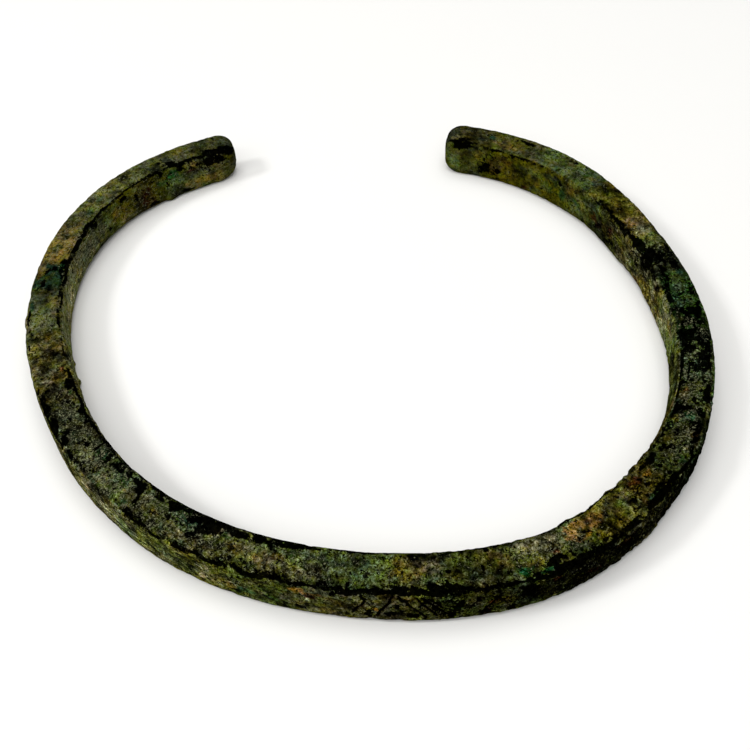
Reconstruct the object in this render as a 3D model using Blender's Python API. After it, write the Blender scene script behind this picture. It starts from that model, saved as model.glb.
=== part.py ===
"""An open bronze bracelet: one plain bar, nearly square in section, bent by hand into an oval.

It lies flat with the gap between its blunt ends at the back, +Y. Sizes are in millimetres
until the mesh is made, and the mesh is in metres.
"""

import math

import bmesh
import bpy
import numpy as np

MM = 0.001

# The bar
BAR_LENGTH = 180.0
BAR_HEIGHT = 5.0
# The width every 15 mm, from the left end round to the right end
BAR_WIDTHS = (3.3, 3.2, 3.4, 4.1, 4.0, 4.2, 4.3, 4.2, 4.0, 3.7, 3.6, 3.8, 3.5)
ARRIS_RADIUS = 0.65  # the long edges are worn round

# The bend: the centre line's radius every 15 mm, in the same order
BEND_RADII = (48, 20, 27, 51, 32, 38, 50, 23, 31, 28, 54, 23, 39)
FRONT_HEADING = math.radians(-5.4)  # the bar's direction at its middle, from +X

# The blunt ends
END_DEPTH = 1.9  # how far back from its tip an end starts to round over
END_SHRINK = 0.55  # how much smaller the section is at the tip

# How finely the solid is made
FINE_STEPS = 1800
BAR_STEPS = 112
END_STEPS = 5
ARRIS_STEPS = 3

# The metal, under its patina
BRONZE_COLOUR = (0.035, 0.033, 0.014, 1.0)
BRONZE_ROUGHNESS = 0.7
BRONZE_METALLIC = 0.25


def clear_scene():
    for old in list(bpy.data.objects):
        bpy.data.objects.remove(old, do_unlink=True)


def centre_line(distances):
    """The centre line's x, y and heading at distances from the bar's left end."""
    fine = np.linspace(0.0, BAR_LENGTH, FINE_STEPS + 1)
    step = BAR_LENGTH / FINE_STEPS

    def running_sum(values):
        return np.concatenate(([0.0], np.cumsum(values[1:] + values[:-1]) * step / 2))

    bend_places = np.linspace(0.0, BAR_LENGTH, len(BEND_RADII))
    heading = running_sum(np.interp(fine, bend_places, [1 / radius for radius in BEND_RADII]))
    heading += FRONT_HEADING - heading[FINE_STEPS // 2]
    x = running_sum(np.cos(heading))
    y = running_sum(np.sin(heading))
    return [np.interp(distances, fine, values) for values in (x, y, heading)]


def section(width):
    """A rectangle with round corners, as (outwards, up) from its middle."""
    points = []
    for corner in range(4):
        middle = math.radians(90 * corner + 45)
        across = math.copysign(width / 2 - ARRIS_RADIUS, math.cos(middle))
        up = math.copysign(BAR_HEIGHT / 2 - ARRIS_RADIUS, math.sin(middle))
        for step in range(ARRIS_STEPS + 1):
            angle = math.radians(90 * (corner + step / ARRIS_STEPS))
            points.append((across + ARRIS_RADIUS * math.cos(angle), up + ARRIS_RADIUS * math.sin(angle)))
    return points


def stations():
    """Distances along the bar, each with the size of the section there: 1, and less at the ends."""
    rounding = []
    for step in range(END_STEPS, 0, -1):
        angle = math.radians(90 * step / END_STEPS)
        rounding.append((END_DEPTH * (1 - math.sin(angle)), 1 - END_SHRINK * (1 - math.cos(angle))))
    straight = [(float(place), 1.0) for place in np.linspace(END_DEPTH, BAR_LENGTH - END_DEPTH, BAR_STEPS + 1)]
    return rounding + straight + [(BAR_LENGTH - place, scale) for place, scale in reversed(rounding)]


def bar_points():
    """The bar's rings of points in millimetres, one ring for each station, centred on the origin."""
    places, scales = zip(*stations())
    width_places = np.linspace(0.0, BAR_LENGTH, len(BAR_WIDTHS))
    widths = np.interp(places, width_places, BAR_WIDTHS)
    rings = []
    for x, y, heading, width, scale in zip(*centre_line(places), widths, scales):
        ring = []
        for across, up in section(width):
            outwards = across * scale
            height = BAR_HEIGHT / 2 + up * scale
            ring.append((x + outwards * math.sin(heading), y - outwards * math.cos(heading), height))
        rings.append(ring)
    rings = np.array(rings)
    lowest = rings.reshape(-1, 3).min(axis=0)
    highest = rings.reshape(-1, 3).max(axis=0)
    return rings - [(lowest[0] + highest[0]) / 2, (lowest[1] + highest[1]) / 2, lowest[2]]


def loft(rings):
    """A closed body through the rings, capped at both ends."""
    body = bmesh.new()
    loops = [[body.verts.new(point * MM) for point in ring] for ring in rings]
    count = len(loops[0])
    for near, far in zip(loops, loops[1:]):
        for i in range(count):
            body.faces.new((near[i], near[(i + 1) % count], far[(i + 1) % count], far[i]))
    for end in (loops[0], loops[-1]):
        body.faces.new(end)
    bmesh.ops.recalc_face_normals(body, faces=body.faces)
    mesh = bpy.data.meshes.new("bracelet")
    body.to_mesh(mesh)
    body.free()
    mesh.shade_smooth()
    mesh.set_sharp_from_angle(angle=math.radians(40))
    return mesh


def bronze():
    material = bpy.data.materials.new("bronze")
    material.use_nodes = True
    shader = material.node_tree.nodes["Principled BSDF"]
    shader.inputs["Base Color"].default_value = BRONZE_COLOUR
    shader.inputs["Roughness"].default_value = BRONZE_ROUGHNESS
    shader.inputs["Metallic"].default_value = BRONZE_METALLIC
    return material


def build_bracelet():
    parts = bpy.data.collections.new("bronze_bracelet")
    bpy.context.scene.collection.children.link(parts)
    bracelet = bpy.data.objects.new("bracelet", loft(bar_points()))
    bracelet.data.materials.append(bronze())
    parts.objects.link(bracelet)


clear_scene()
build_bracelet()
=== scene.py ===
# %% [markdown]
# # An open bronze bracelet
# The bracelet is one bar of bronze, nearly square in section, bent by hand into an oval that a wrist
# slips into sideways. It has lain in the ground for a very long time, so its skin is a crust of copper
# salts and dirt. The bar itself is simple. The lesson is about its skin: first as real relief in the
# mesh, then as colour.

import math
import random

import bpy
import numpy as np
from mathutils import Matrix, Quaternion, Vector, noise


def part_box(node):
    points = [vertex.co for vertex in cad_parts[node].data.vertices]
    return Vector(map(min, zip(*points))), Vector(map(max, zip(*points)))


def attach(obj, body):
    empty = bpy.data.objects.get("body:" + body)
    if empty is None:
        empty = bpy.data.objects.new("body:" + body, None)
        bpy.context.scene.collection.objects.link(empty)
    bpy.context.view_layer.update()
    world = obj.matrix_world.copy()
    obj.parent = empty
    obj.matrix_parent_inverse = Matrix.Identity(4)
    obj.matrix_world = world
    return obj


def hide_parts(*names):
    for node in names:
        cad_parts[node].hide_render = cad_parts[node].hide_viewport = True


MM = 0.001
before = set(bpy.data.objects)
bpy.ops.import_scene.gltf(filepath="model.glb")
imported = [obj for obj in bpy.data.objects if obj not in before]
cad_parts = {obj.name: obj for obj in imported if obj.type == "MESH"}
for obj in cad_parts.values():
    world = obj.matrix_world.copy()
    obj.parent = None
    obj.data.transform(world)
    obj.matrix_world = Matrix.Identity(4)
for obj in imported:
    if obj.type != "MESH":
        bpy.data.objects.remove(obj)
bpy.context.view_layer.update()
bar_low, bar_high = (np.array(corner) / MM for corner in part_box("bracelet"))
print("bar's box in mm:", (bar_high - bar_low).round(2))

# %% [markdown]
# ## The line of the bar
# A bar bent by hand has no one radius: it is tighter where it was worked round a corner, and nearly
# straight in between. So the line is not an ellipse. It is drawn as a smith bends it, by how tight the
# bend is at even steps along the bar, and the heading and the place follow by adding up small steps.

# %% The centre line and the widths
BAR_LENGTH = 180.0
BAR_HEIGHT = bar_high[2] - bar_low[2]
# Widths and radii are every 15 mm, from the left end round to the right end
BAR_WIDTHS = (3.3, 3.2, 3.4, 4.1, 4.0, 4.2, 4.3, 4.2, 4.0, 3.7, 3.6, 3.8, 3.5)
BEND_RADII = (48, 20, 27, 51, 32, 38, 50, 23, 31, 28, 54, 23, 39)
FRONT_HEADING = math.radians(-5.4)
FINE_STEPS = 1800


def centre_line(distances):
    """x, y and heading at distances from the left end."""
    fine = np.linspace(0.0, BAR_LENGTH, FINE_STEPS + 1)
    step = BAR_LENGTH / FINE_STEPS

    def running_sum(values):
        return np.concatenate(([0.0], np.cumsum(values[1:] + values[:-1]) * step / 2))

    bend_places = np.linspace(0.0, BAR_LENGTH, len(BEND_RADII))
    heading = running_sum(np.interp(fine, bend_places, [1 / radius for radius in BEND_RADII]))
    heading += FRONT_HEADING - heading[FINE_STEPS // 2]
    x = running_sum(np.cos(heading))
    y = running_sum(np.sin(heading))
    return [np.interp(distances, fine, values) for values in (x, y, heading)]


def bar_width(distances):
    return np.interp(distances, np.linspace(0.0, BAR_LENGTH, len(BAR_WIDTHS)), BAR_WIDTHS)


end_headings = centre_line((0, BAR_LENGTH))[2]
print("heading turns by", np.degrees(np.ptp(end_headings)).round(), "degrees")

# %% [markdown]
# ## The skin as a grid
# A sweep along a curve object would give the bar, but not control over where its points lie. Here the
# skin is a grid: rings along the bar, columns round it. Every point then knows two things, how far along
# it is and where round the section it sits, and everything later, the pits, the cut lines and the stains,
# is placed with those two. The rings stand closer where the cut lines are.

# %% Rings along the bar
END_DEPTH = 1.9  # how far back from its tip an end starts to round over
END_SHRINK = 0.55  # how much smaller the section is at the tip
ROUNDING_RINGS = 11
TIP_RINGS = 8
SMALLEST_RING = 0.12  # beside the section at the tip
RING_STEP = 0.19
CUT_STEP = 0.11
CUT_ZONE = (84.0, 102.0)


def ring_places():
    """For each ring, its distance along the bar and the size of the section there."""
    rounding = [(END_DEPTH * (1 - math.sin(a)), 1 - END_SHRINK * (1 - math.cos(a)))
                for a in np.linspace(math.pi / 2, 0, ROUNDING_RINGS, endpoint=False)]
    tip_parts = np.linspace(SMALLEST_RING, 1, TIP_RINGS, endpoint=False)
    left = [(0.0, (1 - END_SHRINK) * part) for part in tip_parts] + rounding
    body = np.concatenate([
        np.arange(END_DEPTH, CUT_ZONE[0], RING_STEP),
        np.arange(CUT_ZONE[0], CUT_ZONE[1], CUT_STEP),
        np.arange(CUT_ZONE[1], BAR_LENGTH - END_DEPTH, RING_STEP),
    ])
    places = [place for place, _ in left] + list(body) + [BAR_LENGTH - place for place, _ in reversed(left)]
    sizes = [size for _, size in left] + [1.0] * len(body) + [size for _, size in reversed(left)]
    return np.array(places), np.array(sizes)


ring_at, ring_size = ring_places()
print(len(ring_at), "rings")

# %% Columns round the section
ARRIS_RADIUS = 0.65
FACES = ("top", "outer", "bottom", "inner")  # in turn round the section, from the top's inner arris
COLUMNS = {"top": 24, "outer": 28, "bottom": 16, "inner": 24}

column_face = np.concatenate([np.full(COLUMNS[face], FACES.index(face)) for face in FACES])
column_part = np.concatenate([np.arange(COLUMNS[face]) / COLUMNS[face] for face in FACES])


def worn_section(width):
    """How far out and how far up each column lies from the middle of a section with worn arrises."""
    corners = np.array([(-1, 1), (1, 1), (1, -1), (-1, -1), (-1, 1)]) * (width / 2, BAR_HEIGHT / 2)
    sharp = corners[column_face] + (corners[column_face + 1] - corners[column_face]) * column_part[:, None]
    core = np.array((width, BAR_HEIGHT)) / 2 - ARRIS_RADIUS
    centre = np.clip(sharp, -core, core)
    facing = (sharp - centre) / np.linalg.norm(sharp - centre, axis=1, keepdims=True)
    return centre + facing * ARRIS_RADIUS


print(len(column_face), "columns")

# %% The bare bar
def bare_bar():
    """Points of the plain bar in millimetres, as rings by columns."""
    x, y, heading = centre_line(ring_at)
    widths = bar_width(ring_at)
    points = np.zeros((len(ring_at), len(column_face), 3))
    for i, (width, size) in enumerate(zip(widths, ring_size)):
        section = worn_section(width) * size
        points[i, :, 0] = x[i] + section[:, 0] * math.sin(heading[i])
        points[i, :, 1] = y[i] - section[:, 0] * math.cos(heading[i])
        points[i, :, 2] = BAR_HEIGHT / 2 + section[:, 1]
    middle = (points.min(axis=(0, 1)) + points.max(axis=(0, 1))) / 2
    points[:, :, :2] += ((bar_low + bar_high) / 2 - middle)[:2]
    return points


skin = bare_bar()
print("points:", skin.shape[0] * skin.shape[1], "box:", np.ptp(skin.reshape(-1, 3), axis=0).round(2))

# %% Where each point sits
along = np.repeat(ring_at[:, None], len(column_face), axis=1)
width_here = bar_width(along)
face_start = {  # distance round the section, from the top's inner arris, at which each face starts
    "top": 0 * width_here,
    "outer": width_here,
    "bottom": width_here + BAR_HEIGHT,
    "inner": 2 * width_here + BAR_HEIGHT,
}
face_size = {"top": width_here, "outer": BAR_HEIGHT, "bottom": width_here, "inner": BAR_HEIGHT}
girth = 2 * (width_here + BAR_HEIGHT)
around = np.zeros_like(along)
for number, face in enumerate(FACES):
    here = column_face == number
    start, size = face_start[face], np.broadcast_to(face_size[face], along.shape)
    around[:, here] = start[:, here] + column_part[here] * size[:, here]


def off_line(face, across=0.0, wander=0.0):
    """Distance round the section, the short way, from a line that runs along a face."""
    off = around - (face_start[face] + face_size[face] / 2 + across) + wander
    return (off + girth / 2) % girth - girth / 2


print("round the section:", girth.min().round(1), "to", girth.max().round(1), "mm")

# %% [markdown]
# ## Noise in millimetres
# Corrosion has no pattern that repeats, so it could be painted or made with noise. Noise is used here,
# always with its grain size in millimetres, because a real crust has real sizes: flakes of a few
# millimetres, grains of half a millimetre. The noise is read in space, so it runs round the arrises
# without a seam.

# %% A helper that reads noise over the whole skin
SEED_SHIFT = (17.3, -9.1, 5.7)  # each seed reads the noise this much further on
OCTAVE_FADE = 0.9  # how fast finer and finer noise grows weak
OCTAVE_STEP = 2.1  # how much finer each octave is than the one before


def rough(size, octaves=2, seed=0):
    """Noise with a grain of `size` mm over the skin, with a mean of 0 and a spread of 1."""
    shift = Vector([part * seed for part in SEED_SHIFT])
    read = [noise.fractal(Vector(point) / size + shift, OCTAVE_FADE, OCTAVE_STEP, octaves)
            for point in skin.reshape(-1, 3)]
    values = np.array(read).reshape(along.shape)
    return (values - values.mean()) / values.std()


def ease(start, end, value):
    """0 at start, 1 at end, a smooth step between; the end may lie on either side of the start."""
    part = np.clip((value - start) / (end - start), 0, 1)
    return part * part * (3 - 2 * part)


broad = rough(9.0, seed=1)
blotch = rough(2.6, seed=2)
fleck = rough(1.2, seed=3)
grit = rough(0.55, seed=4)
wander_along = rough(1.5, octaves=3, seed=5)
wander_around = rough(1.5, octaves=3, seed=6)
print("noise fields:", broad.shape)

# %% [markdown]
# ## Where a patch lies
# Each patch of colour or of bare black metal is a soft oval on the skin, with an edge that the noise
# pushes in and out. Its place is a distance along the bar, a face, and a distance across that face from
# its middle. On the top face across runs from the wrist outwards, on the outer face it runs down, and on
# the inner face it runs up, so that a patch can lap over an arris as the real ones do.

# %% A helper that lays one patch
WANDER = 0.17  # how far the noise pushes a patch's edge, in millimetres for each unit of noise
WANDER_ALONG = 1.3  # how much more it does so along the bar
WANDER_BY_WIDTH = 1.8  # a narrow patch wanders less, in step with this times its half-width
EDGE = 0.17  # how soft the edge is, as a share of the patch's half-width
REACH = 0.97  # where the edge's middle lies, as such a share
FRAY_FLECK = 0.12  # how much flecks fray the edge
FRAY_GRIT = 0.14


def patch(face, place, across, half_length, half_width, slant=0.0, edge=EDGE):
    """How much of each skin point a patch covers, 0 to 1. A slant shifts it along, so much a mm across."""
    wander = WANDER * min(1, WANDER_BY_WIDTH * half_width)
    off = off_line(face, across, wander * wander_around)
    run = along - place - slant * off + WANDER_ALONG * wander * wander_along
    reach = np.hypot(run / half_length, off / half_width)
    return 1 - ease(REACH - edge, REACH + edge, reach + FRAY_FLECK * fleck + FRAY_GRIT * grit)


print("a patch 2 mm long covers", round(float(patch("top", 90, 0, 1, 1).sum())), "points")

# %% [markdown]
# ## The colours of the skin
# Buried bronze takes many colours side by side: khaki and ochre from the soil, greens and a little teal
# from copper salts, rust from iron in the ground, and a thin black layer where the crust has gone. Each
# has a name here, with its red, green and blue as a screen shows them. The material needs the share of
# light sent back instead, so they are turned into that, and divided by the light that the face gets.

# %% The palette
SKIN_COLOURS = {
    "khaki": (60, 59, 31), "dark khaki": (46, 46, 26), "yellow khaki": (62, 65, 25),
    "grey khaki": (69, 70, 43), "pale khaki": (83, 85, 52), "drab": (51, 53, 33), "bone": (118, 114, 74),
    "ash": (114, 116, 88), "honey": (90, 82, 26), "gold": (53, 52, 4), "tan": (105, 91, 46),
    "sand": (85, 79, 38), "ochre": (64, 57, 16), "mustard": (52, 52, 6), "orange": (122, 88, 34),
    "rust": (64, 34, 12), "maroon": (30, 9, 9), "brown": (43, 38, 13), "olive": (51, 58, 25),
    "dark olive": (45, 48, 17), "bright olive": (64, 70, 30), "grey-green": (54, 66, 37),
    "pale green": (71, 84, 48), "green": (36, 56, 22), "emerald": (14, 58, 24), "teal": (26, 50, 36),
    "dark green": (35, 43, 21), "moss": (45, 54, 23), "deep teal": (34, 55, 39), "straw": (70, 68, 20),
    "slate": (36, 40, 30),
}
LIGHT_ON = {"top": 1.05, "outer": 0.55, "bottom": 0.8, "inner": 0.6}  # how bright white is on each face


def light_share(name, face):
    """The share of red, green and blue light that a colour sends back, when it is seen so on this face."""
    seen = np.array(SKIN_COLOURS[name]) / 255
    # The usual curve of a screen: a straight foot, then a power
    return np.where(seen < 0.04045, seen / 12.92, ((seen + 0.055) / 1.055) ** 2.4) / LIGHT_ON[face]


print(len(SKIN_COLOURS), "colours; khaki sends back", light_share("khaki", "top").round(3))

# %% [markdown]
# ## Which colour lies where
# Random blotches alone would give a skin of the right kind but not this bracelet's own. So it is painted
# in order: first the long tracts, each from its start to the next one's, then the
# patches that catch the eye, one by one. Noise only fills in between. A patch reads: colour, distance
# along the bar, distance across the face, half its length, half its width, and sometimes a slant. The
# order counts, because a later patch lies over an earlier one.

# %% Tracts, from the left end round to the right end
TRACTS = {  # distance along at which each starts, and its colour
    "top": [
        (0, "drab"), (5, "grey khaki"), (11, "pale khaki"), (21.3, "grey khaki"), (24.1, "tan"),
        (29.4, "deep teal"), (33.6, "grey khaki"), (37.4, "pale khaki"), (39.8, "khaki"), (41.8, "sand"),
        (45, "khaki"), (47.9, "dark khaki"), (50.6, "drab"), (60, "grey-green"), (63.6, "drab"),
        (65.5, "olive"), (68.6, "grey-green"), (72, "pale khaki"), (75, "yellow khaki"),
        (80.4, "bright olive"), (84, "moss"), (88, "olive"), (90.2, "yellow khaki"), (95.6, "dark olive"),
        (98.8, "dark olive"), (101.5, "yellow khaki"), (105, "olive"), (108, "honey"),
        (111, "yellow khaki"), (113.4, "ochre"), (116.6, "dark olive"), (123, "dark green"),
        (126, "dark olive"), (129, "dark green"), (131, "grey-green"), (134.6, "green"), (140.5, "green"),
        (144, "slate"), (147.4, "bright olive"), (150, "sand"), (153.2, "straw"), (159, "grey-green"),
        (162, "pale green"), (168, "khaki"), (170.6, "yellow khaki"), (174, "khaki"),
    ],
    "outer": [
        (0, "grey khaki"), (26, "tan"), (29.4, "dark green"), (36, "drab"), (50, "khaki"), (60, "khaki"),
        (66.3, "yellow khaki"), (69.3, "yellow khaki"), (76, "olive"), (81.6, "khaki"),
        (87.5, "dark khaki"), (91, "dark olive"), (100.3, "dark green"), (102, "dark olive"),
        (104.5, "dark khaki"), (118, "dark green"), (128, "green"), (134, "dark green"), (147, "olive"),
        (150, "khaki"), (158, "olive"), (168, "khaki"), (174, "drab"),
    ],
    "inner": [
        (0, "dark khaki"), (2.2, "grey khaki"), (6.6, "olive"), (9.6, "mustard"), (12, "brown"),
        (14.6, "mustard"), (18.6, "olive"), (20.6, "drab"), (23.6, "grey khaki"), (26.8, "grey khaki"),
        (29.6, "pale khaki"), (47, "khaki"), (60, "olive"), (84, "khaki"), (100, "dark olive"),
        (115, "brown"), (126, "dark olive"), (134, "bright olive"), (138, "pale khaki"), (140.6, "sand"),
        (145, "khaki"), (151, "dark khaki"), (153, "dark olive"), (156.4, "olive"), (159.4, "dark olive"),
        (163, "gold"), (174.6, "dark olive"),
    ],
}
print([(face, len(tracts)) for face, tracts in TRACTS.items()])

# %% Patches of the top face, on the left arm
TOP_PATCHES = [
    ("slate", 0.4, 0, 0.8, 2), ("slate", 3.4, -0.2, 0.4, 0.4), ("khaki", 5, -0.5, 1.1, 0.5),
    ("sand", 6.9, 0.3, 0.8, 0.4), ("slate", 10.2, -1.0, 0.5, 0.3), ("slate", 8.8, -0.6, 1.0, 0.6),
    ("grey khaki", 12.4, 0.6, 1.1, 0.4), ("dark khaki", 14.1, 0.3, 0.5, 0.3),
    ("bone", 15.3, -0.8, 0.6, 0.2), ("sand", 16, 0.7, 0.9, 0.3), ("bone", 17.6, 0.7, 0.5, 0.2),
    ("grey-green", 18.3, -0.1, 0.8, 0.4), ("sand", 19.6, 0.4, 0.7, 0.4),
    ("pale green", 20.6, -0.5, 0.7, 0.3), ("drab", 22.8, 0.1, 0.3, 1.2), ("khaki", 23.7, 0.5, 0.5, 0.7),
    ("khaki", 23, -0.7, 0.9, 0.5), ("bone", 24.7, -0.7, 0.4, 0.3), ("khaki", 25.4, 0, 0.6, 0.3),
    ("olive", 27.2, 0.2, 0.5, 0.4), ("sand", 28.8, -0.6, 0.9, 0.6), ("tan", 30.2, 1.1, 1.1, 0.5),
    ("sand", 30.8, 0.6, 0.5, 0.3), ("grey-green", 31.9, 0, 0.6, 0.45), ("khaki", 32.5, 0.4, 0.4, 0.3),
    ("emerald", 30.2, -1.2, 0.5, 0.3), ("grey-green", 33.7, 0.9, 0.6, 0.4), ("drab", 34.5, 0.5, 0.5, 1.0),
    ("pale khaki", 36, -1.0, 0.9, 0.3), ("grey khaki", 35.2, -0.4, 0.9, 0.3), ("teal", 36.3, 1.3, 0.9, 0.3),
    ("pale khaki", 38.7, 0.2, 0.9, 0.5), ("bone", 38.8, 0.3, 0.4, 0.2), ("khaki", 37.6, -0.9, 0.7, 0.4),
    ("pale khaki", 40.6, -1.0, 0.6, 0.3), ("sand", 41.1, -0.2, 0.5, 0.3), ("khaki", 43.2, 0.2, 0.9, 0.5),
    ("sand", 43.9, -0.5, 0.7, 0.5), ("sand", 42, 1.1, 0.6, 0.3), ("bone", 42, 1.1, 0.3, 0.15),
    ("brown", 45.2, 0.9, 0.8, 0.3), ("pale khaki", 44.8, -0.8, 1.2, 0.6), ("rust", 45.8, -1.1, 0.5, 0.3),
    ("brown", 47.3, 0.5, 0.5, 0.8), ("khaki", 46.4, 0, 0.6, 0.4), ("sand", 47, -0.8, 1.1, 0.7),
    ("green", 49.2, -1.2, 0.4, 0.3), ("sand", 50.3, -1.2, 0.5, 0.3), ("khaki", 50, 0.6, 0.7, 0.4),
]
print(len(TOP_PATCHES), "patches on the left arm")

# %% Patches of the top face, in front
TOP_PATCHES += [
    ("pale khaki", 53.4, -0.4, 0.9, 0.35), ("bone", 53.9, -0.3, 0.3, 0.2),
    ("dark green", 54.6, 0.4, 0.7, 0.4), ("pale khaki", 57.2, 0.1, 0.7, 0.6), ("ash", 57.4, 0, 0.6, 0.45),
    ("ash", 58.5, 0, 0.4, 0.3), ("green", 58.7, -0.7, 1.1, 0.55), ("emerald", 58.6, -0.9, 0.3, 0.2),
    ("drab", 59.6, 0.6, 0.5, 0.8), ("pale green", 61.3, 0.5, 1.6, 0.9), ("ash", 61, 0.9, 0.9, 0.55),
    ("pale green", 63.0, 0.9, 0.5, 0.7), ("green", 62.6, -0.3, 0.7, 0.4), ("bone", 63.4, 0.3, 0.3, 0.2),
    ("green", 64.0, 1.4, 0.5, 0.4), ("bright olive", 66.5, 0.5, 1.0, 0.7),
    ("grey khaki", 65.8, -0.6, 0.5, 0.4), ("ochre", 67.2, 0.2, 0.5, 0.3), ("maroon", 68, 1.1, 0.35, 0.3),
    ("yellow khaki", 69.4, 0.3, 0.8, 0.6), ("teal", 70.6, -0.7, 0.8, 0.4), ("bone", 70.6, 0.8, 0.4, 0.3),
    ("bone", 71, 0.9, 0.9, 0.6), ("sand", 69.6, 1.4, 0.6, 0.3), ("ochre", 72.2, 0.9, 0.6, 0.4),
    ("olive", 73.9, 0.2, 0.7, 0.5), ("pale khaki", 75, 1.0, 1.1, 0.8), ("green", 74.4, -0.7, 0.6, 0.3),
    ("pale khaki", 73.4, 1.3, 0.7, 0.3), ("ochre", 75.9, 0.2, 1.0, 0.6),
    ("dark olive", 77.5, -0.8, 1.7, 0.8), ("sand", 78.6, 0.3, 1.2, 0.6), ("olive", 77.5, 1.2, 0.8, 0.4),
    ("pale khaki", 76.8, -0.3, 0.4, 0.3), ("olive", 79, -0.9, 1.1, 0.6), ("ochre", 79.8, -0.2, 0.6, 0.4),
    ("pale khaki", 81.4, 0.9, 2.0, 0.7), ("sand", 81.8, 0.5, 0.5, 0.5), ("bone", 81.9, 0.4, 0.25, 0.2),
    ("olive", 83.6, -0.9, 0.7, 0.5), ("bright olive", 82.9, 0.9, 0.5, 0.4),
    ("dark olive", 85.4, 1.0, 0.7, 0.4), ("bone", 83, 0.8, 1.0, 0.6), ("moss", 81.2, -0.8, 1.4, 0.7),
    ("dark green", 84.8, -0.8, 1.7, 0.7), ("olive", 87.5, 1.2, 0.7, 0.3), ("ochre", 90.4, 0.2, 0.8, 0.6),
    ("sand", 91.9, 0.1, 0.5, 0.3), ("sand", 91, -0.8, 1.2, 0.6), ("bone", 93.2, -0.7, 1.2, 0.7),
    ("ochre", 95, 0.4, 0.8, 0.5), ("bone", 93.7, 1.2, 0.25, 0.15), ("dark green", 93, 0.8, 1.1, 0.7),
    ("dark green", 96.6, 0.8, 0.8, 0.5), ("brown", 98.9, -0.9, 1.0, 0.7), ("ochre", 99.4, 0.3, 0.8, 0.7),
    ("brown", 99, 0.6, 0.4, 0.3), ("ochre", 100, -0.5, 0.5, 0.4), ("pale khaki", 101.1, -1.1, 0.9, 0.4),
    ("bone", 101.3, -1.0, 0.7, 0.4), ("emerald", 100.7, 1.1, 0.7, 0.45), ("ochre", 102, 0.7, 0.8, 0.4),
    ("emerald", 102.7, 1.6, 0.6, 0.35), ("pale khaki", 102.6, -0.7, 0.9, 0.5),
    ("bone", 104.3, -1.1, 0.6, 0.3), ("bone", 104.7, -0.1, 0.3, 0.2), ("rust", 103.9, 0.4, 0.4, 0.3),
    ("grey khaki", 104.4, -0.6, 0.8, 0.3), ("dark green", 105.9, 0.9, 0.7, 0.6),
    ("orange", 107.6, -0.7, 2.0, 0.8), ("orange", 108.2, -0.8, 1.6, 0.7), ("orange", 109.1, -0.5, 0.5, 0.4),
    ("ochre", 107.3, -0.3, 0.6, 0.3), ("khaki", 111.4, -0.7, 1.6, 0.9), ("moss", 111.9, -0.4, 0.6, 0.4),
    ("mustard", 110, 0.6, 1.4, 0.5), ("brown", 113.3, -0.9, 0.6, 0.4), ("rust", 114.8, -0.9, 0.7, 0.4),
    ("orange", 116.1, -0.7, 0.4, 0.3), ("ochre", 114, 0.4, 0.7, 0.5), ("sand", 116.8, -0.2, 0.3, 0.25),
    ("green", 114.9, 1.2, 0.9, 0.4),
]
print(len(TOP_PATCHES), "patches with those in front")

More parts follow.
